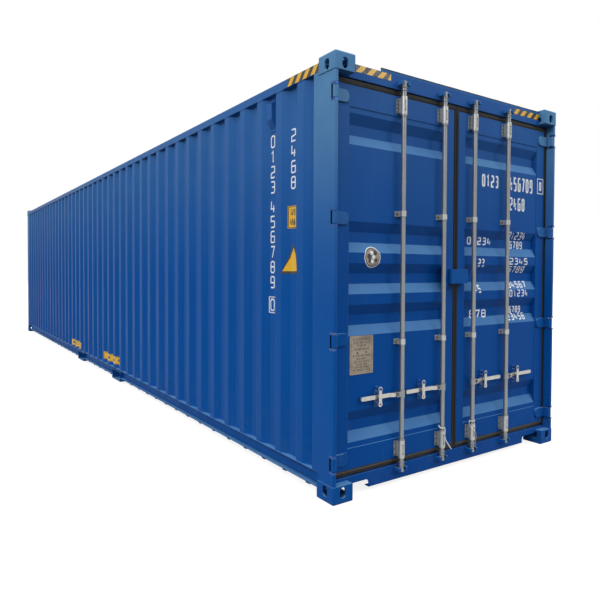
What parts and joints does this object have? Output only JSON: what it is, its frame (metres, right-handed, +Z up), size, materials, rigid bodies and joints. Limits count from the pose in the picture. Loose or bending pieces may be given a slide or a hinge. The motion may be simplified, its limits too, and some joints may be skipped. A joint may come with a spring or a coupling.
{
  "type": "shipping container",
  "caption": "High-cube dry freight container of corrugated steel, with hinged end doors, locking bars and corner castings.",
  "frame": {"origin": "middle of the base, on the ground", "axes": "+X along the length towards the door end, +Y across to the right-hand side seen from outside the doors, +Z up"},
  "size_m": [12.192, 2.438, 2.896],
  "materials": {
    "blue_paint": "semi-gloss blue paint, worn",
    "door_paint": "semi-gloss blue paint, worn",
    "galvanised_gear": "galvanised steel, dulled",
    "underframe_paint": "dark protective coat",
    "vent_paint": "semi-gloss blue paint",
    "pin_steel": "worn steel",
    "seal_rubber": "matt black rubber",
    "white_marking": "white vinyl figures",
    "yellow_marking": "yellow vinyl film",
    "black_marking": "black vinyl film",
    "plate_alloy": "dull engraved plate",
    "white_nylon": "white nylon",
    "plywood_floor": "varnished plywood"
  },
  "bodies": {
    "box": {"bottom_corner_castings": "blue_paint", "top_corner_castings": "blue_paint", "rear_corner_posts": "blue_paint", "front_corner_posts": "blue_paint", "top_side_rails": "blue_paint", "bottom_side_rails": "blue_paint", "door_sill": "blue_paint", "door_header": "blue_paint", "front_bottom_rail": "blue_paint", "front_top_rail": "blue_paint", "left_side_wall": "blue_paint", "right_side_wall": "blue_paint", "front_wall": "blue_paint", "roof_panel": "blue_paint", "floor": "plywood_floor", "cross_members": "underframe_paint", "fork_pockets": "blue_paint", "gooseneck_tunnel_top": "underframe_paint", "gooseneck_tunnel_sides": "underframe_paint", "tunnel_lintel": "blue_paint", "header_rim": "blue_paint", "roof_end_plate": "blue_paint", "side_vents": "vent_paint", "cam_keepers": "galvanised_gear", "hinge_pins": "pin_steel"},
    "left_door": {"left_door_frame": "door_paint", "left_door_panel": "door_paint", "left_door_gasket": "seal_rubber", "left_hinge_blades": "blue_paint", "left_door_fittings": "galvanised_gear", "left_lock_bracket": "blue_paint"},
    "left_outer_bar": {"left_outer_bar": "galvanised_gear"},
    "left_outer_handle": {"left_outer_handle": "galvanised_gear"},
    "left_outer_catch": {"left_outer_catch": "galvanised_gear"},
    "left_inner_bar": {"left_inner_bar": "galvanised_gear"},
    "left_inner_handle": {"left_inner_handle": "galvanised_gear"},
    "left_inner_catch": {"left_inner_catch": "galvanised_gear"},
    "right_door": {"right_door_frame": "door_paint", "right_door_panel": "door_paint", "right_door_gasket": "seal_rubber", "right_hinge_blades": "blue_paint", "right_door_fittings": "galvanised_gear", "right_lock_hood": "blue_paint"},
    "right_outer_bar": {"right_outer_bar": "galvanised_gear"},
    "right_outer_handle": {"right_outer_handle": "galvanised_gear"},
    "right_outer_catch": {"right_outer_catch": "galvanised_gear"},
    "right_inner_bar": {"right_inner_bar": "galvanised_gear"},
    "right_inner_handle": {"right_inner_handle": "galvanised_gear"},
    "right_inner_catch": {"right_inner_catch": "galvanised_gear"}
  },
  "joints": [
    {"name": "left_door_hinge", "type": "hinge", "parent": "box", "child": "left_door", "pos_m": [6.074, -1.199, 1.449], "axis": [0, 0, -1], "range_deg": [0, 266]},
    {"name": "left_outer_bar_turn", "type": "hinge", "parent": "left_door", "child": "left_outer_bar", "pos_m": [6.064, -0.59, 1.4575], "axis": [0, 0, -1], "range_deg": [-100, 0]},
    {"name": "left_outer_handle_lift", "type": "hinge", "parent": "left_outer_bar", "child": "left_outer_handle", "pos_m": [6.064, -0.63, 0.643], "axis": [1, 0, 0], "range_deg": [-6, 0]},
    {"name": "left_outer_catch_swing", "type": "hinge", "parent": "left_door", "child": "left_outer_catch", "pos_m": [6.0705, -0.798, 0.699], "axis": [-1, 0, 0], "range_deg": [0, 90]},
    {"name": "left_inner_bar_turn", "type": "hinge", "parent": "left_door", "child": "left_inner_bar", "pos_m": [6.064, -0.172, 1.4575], "axis": [0, 0, -1], "range_deg": [-100, 0]},
    {"name": "left_inner_handle_lift", "type": "hinge", "parent": "left_inner_bar", "child": "left_inner_handle", "pos_m": [6.064, -0.212, 0.643], "axis": [1, 0, 0], "range_deg": [-6, 0]},
    {"name": "left_inner_catch_swing", "type": "hinge", "parent": "left_door", "child": "left_inner_catch", "pos_m": [6.0705, -0.38, 0.699], "axis": [-1, 0, 0], "range_deg": [0, 90]},
    {"name": "right_door_hinge", "type": "hinge", "parent": "box", "child": "right_door", "pos_m": [6.074, 1.199, 1.449], "axis": [0, 0, 1], "range_deg": [0, 266]},
    {"name": "right_outer_bar_turn", "type": "hinge", "parent": "right_door", "child": "right_outer_bar", "pos_m": [6.064, 0.59, 1.4575], "axis": [0, 0, 1], "range_deg": [-100, 0]},
    {"name": "right_outer_handle_lift", "type": "hinge", "parent": "right_outer_bar", "child": "right_outer_handle", "pos_m": [6.064, 0.63, 0.643], "axis": [-1, 0, 0], "range_deg": [-6, 0]},
    {"name": "right_outer_catch_swing", "type": "hinge", "parent": "right_door", "child": "right_outer_catch", "pos_m": [6.0705, 0.74, 0.699], "axis": [1, 0, 0], "range_deg": [0, 90]},
    {"name": "right_inner_bar_turn", "type": "hinge", "parent": "right_door", "child": "right_inner_bar", "pos_m": [6.064, 0.172, 1.4575], "axis": [0, 0, 1], "range_deg": [-100, 0]},
    {"name": "right_inner_handle_lift", "type": "hinge", "parent": "right_inner_bar", "child": "right_inner_handle", "pos_m": [6.064, 0.212, 0.643], "axis": [-1, 0, 0], "range_deg": [-6, 0]},
    {"name": "right_inner_catch_swing", "type": "hinge", "parent": "right_door", "child": "right_inner_catch", "pos_m": [6.0705, 0.322, 0.699], "axis": [1, 0, 0], "range_deg": [0, 90]}
  ]
}
